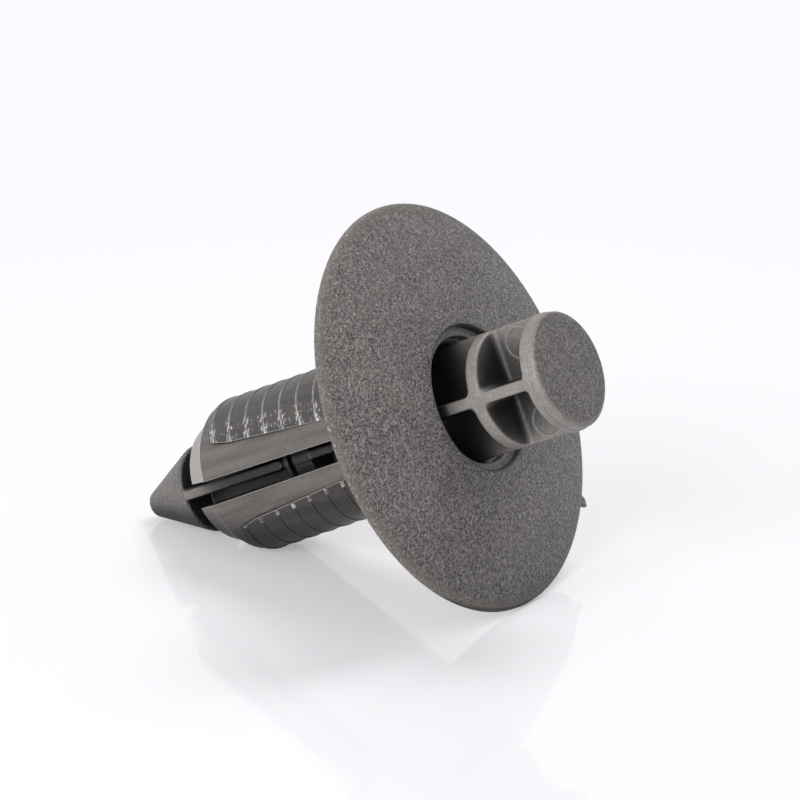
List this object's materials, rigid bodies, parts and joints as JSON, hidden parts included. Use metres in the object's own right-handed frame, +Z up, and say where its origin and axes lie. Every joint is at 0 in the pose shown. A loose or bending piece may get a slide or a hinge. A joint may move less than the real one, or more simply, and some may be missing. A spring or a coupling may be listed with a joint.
{
  "type": "mounting clip",
  "caption": "Plastic push-in mounting clip: domed round flange, hollow split shank with ribbed pads, and a cross-ribbed push pin with a round head and pointed tip, pulled out.",
  "frame": {"origin": "centre of the overall box, at the floor the clip lies on", "axes": "+X runs level along the clip, from its tip towards the head of the pin; +Z is up. The clip's own axis leans 26.31 degrees above +X, because it rests on the rim of the flange and on one leg."},
  "size_m": [0.0246, 0.02, 0.018],
  "materials": {
    "body_plastic": "dark warm grey nylon, spark-eroded grain on the flange, plain matte on the shank",
    "pin_plastic": "dark warm grey nylon, fine grain on the head, plain matte on the webs and tip"
  },
  "bodies": {
    "body": {"retainer_body": "body_plastic"},
    "pin": {"push_pin": "pin_plastic"}
  },
  "joints": [
    {"name": "pin_slide", "type": "slide", "parent": "body", "child": "pin", "axis": [0.8964, 0, 0.4432], "range_m": [-0.00532, 0.0012]}
  ]
}
